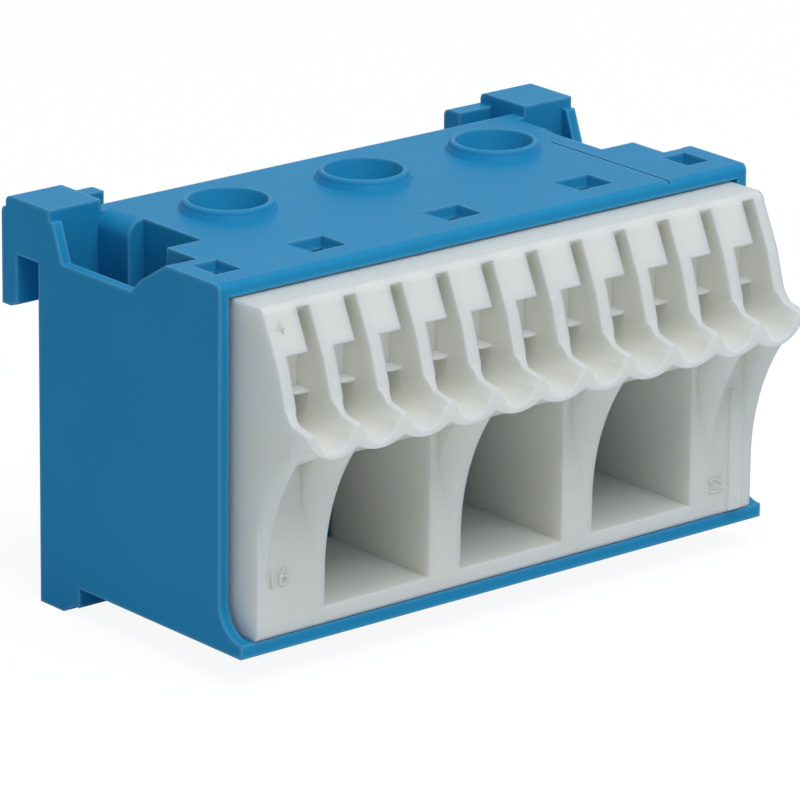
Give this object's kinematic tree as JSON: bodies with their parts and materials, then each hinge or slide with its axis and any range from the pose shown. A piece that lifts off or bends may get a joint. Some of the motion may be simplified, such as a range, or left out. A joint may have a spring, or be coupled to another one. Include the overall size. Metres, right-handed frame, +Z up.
{
  "type": "quick connect terminal block",
  "caption": "Moulded terminal block with a row of push-in wire channels above large screw-clamp cable entries, funnels for a screwdriver on top and rear hooks for a rail.",
  "frame": {"origin": "bottom centre of the whole block's box, on the plane of the rear feet", "axes": "+X along the row of channels, to the right seen from the front; -Y towards the wire entries; +Z up through the screwdriver funnels"},
  "size_m": [0.059, 0.0398, 0.0357],
  "materials": {
    "blue_housing": "satin moulded polyamide",
    "white_cover": "satin moulded polyamide",
    "busbar_brass": "rolled and bent",
    "cage_steel": "zinc plated",
    "screw_steel": "zinc plated",
    "spring_steel": "rolled stainless strip"
  },
  "bodies": {
    "terminal": {"housing": "blue_housing", "front_cover": "white_cover", "busbar": "busbar_brass"},
    "screw_1": {"clamp_screw_1": "screw_steel"},
    "cage_1": {"clamp_cage_1": "cage_steel"},
    "screw_2": {"clamp_screw_2": "screw_steel"},
    "cage_2": {"clamp_cage_2": "cage_steel"},
    "screw_3": {"clamp_screw_3": "screw_steel"},
    "cage_3": {"clamp_cage_3": "cage_steel"},
    "spring_1": {"push_spring_1": "spring_steel"},
    "spring_2": {"push_spring_2": "spring_steel"},
    "spring_3": {"push_spring_3": "spring_steel"},
    "spring_4": {"push_spring_4": "spring_steel"},
    "spring_5": {"push_spring_5": "spring_steel"},
    "spring_6": {"push_spring_6": "spring_steel"},
    "spring_7": {"push_spring_7": "spring_steel"},
    "spring_8": {"push_spring_8": "spring_steel"},
    "spring_9": {"push_spring_9": "spring_steel"},
    "spring_10": {"push_spring_10": "spring_steel"},
    "spring_11": {"push_spring_11": "spring_steel"}
  },
  "joints": [
    {"name": "screw_turn_1", "type": "hinge", "parent": "terminal", "child": "screw_1", "pos_m": [-0.015, 0.00698, 0.0297], "axis": [0, 0, -1], "range_deg": [0, 3240]},
    {"name": "cage_lift_1", "type": "slide", "parent": "terminal", "child": "cage_1", "axis": [0, 0, 1], "range_m": [0, 0.0072]},
    {"name": "screw_turn_2", "type": "hinge", "parent": "terminal", "child": "screw_2", "pos_m": [0, 0.00698, 0.0297], "axis": [0, 0, -1], "range_deg": [0, 3240]},
    {"name": "cage_lift_2", "type": "slide", "parent": "terminal", "child": "cage_2", "axis": [0, 0, 1], "range_m": [0, 0.0072]},
    {"name": "screw_turn_3", "type": "hinge", "parent": "terminal", "child": "screw_3", "pos_m": [0.015, 0.00698, 0.0297], "axis": [0, 0, -1], "range_deg": [0, 3240]},
    {"name": "cage_lift_3", "type": "slide", "parent": "terminal", "child": "cage_3", "axis": [0, 0, 1], "range_m": [0, 0.0072]},
    {"name": "spring_flex_1", "type": "hinge", "parent": "terminal", "child": "spring_1", "pos_m": [-0.025, -0.00692, 0.0299], "axis": [1, 0, 0], "range_deg": [0, 30], "stiffness_Nm_per_rad": 0.3},
    {"name": "spring_flex_2", "type": "hinge", "parent": "terminal", "child": "spring_2", "pos_m": [-0.02, -0.00692, 0.0299], "axis": [1, 0, 0], "range_deg": [0, 30], "stiffness_Nm_per_rad": 0.3},
    {"name": "spring_flex_3", "type": "hinge", "parent": "terminal", "child": "spring_3", "pos_m": [-0.015, -0.00692, 0.0299], "axis": [1, 0, 0], "range_deg": [0, 30], "stiffness_Nm_per_rad": 0.3},
    {"name": "spring_flex_4", "type": "hinge", "parent": "terminal", "child": "spring_4", "pos_m": [-0.01, -0.00692, 0.0299], "axis": [1, 0, 0], "range_deg": [0, 30], "stiffness_Nm_per_rad": 0.3},
    {"name": "spring_flex_5", "type": "hinge", "parent": "terminal", "child": "spring_5", "pos_m": [-0.005, -0.00692, 0.0299], "axis": [1, 0, 0], "range_deg": [0, 30], "stiffness_Nm_per_rad": 0.3},
    {"name": "spring_flex_6", "type": "hinge", "parent": "terminal", "child": "spring_6", "pos_m": [0, -0.00692, 0.0299], "axis": [1, 0, 0], "range_deg": [0, 30], "stiffness_Nm_per_rad": 0.3},
    {"name": "spring_flex_7", "type": "hinge", "parent": "terminal", "child": "spring_7", "pos_m": [0.005, -0.00692, 0.0299], "axis": [1, 0, 0], "range_deg": [0, 30], "stiffness_Nm_per_rad": 0.3},
    {"name": "spring_flex_8", "type": "hinge", "parent": "terminal", "child": "spring_8", "pos_m": [0.01, -0.00692, 0.0299], "axis": [1, 0, 0], "range_deg": [0, 30], "stiffness_Nm_per_rad": 0.3},
    {"name": "spring_flex_9", "type": "hinge", "parent": "terminal", "child": "spring_9", "pos_m": [0.015, -0.00692, 0.0299], "axis": [1, 0, 0], "range_deg": [0, 30], "stiffness_Nm_per_rad": 0.3},
    {"name": "spring_flex_10", "type": "hinge", "parent": "terminal", "child": "spring_10", "pos_m": [0.02, -0.00692, 0.0299], "axis": [1, 0, 0], "range_deg": [0, 30], "stiffness_Nm_per_rad": 0.3},
    {"name": "spring_flex_11", "type": "hinge", "parent": "terminal", "child": "spring_11", "pos_m": [0.025, -0.00692, 0.0299], "axis": [1, 0, 0], "range_deg": [0, 30], "stiffness_Nm_per_rad": 0.3}
  ],
  "couplings": [
    {"joint": "screw_turn_1", "follows": "cage_lift_1", "rad_per_m": 7853.9},
    {"joint": "screw_turn_2", "follows": "cage_lift_2", "rad_per_m": 7853.9},
    {"joint": "screw_turn_3", "follows": "cage_lift_3", "rad_per_m": 7853.9}
  ]
}
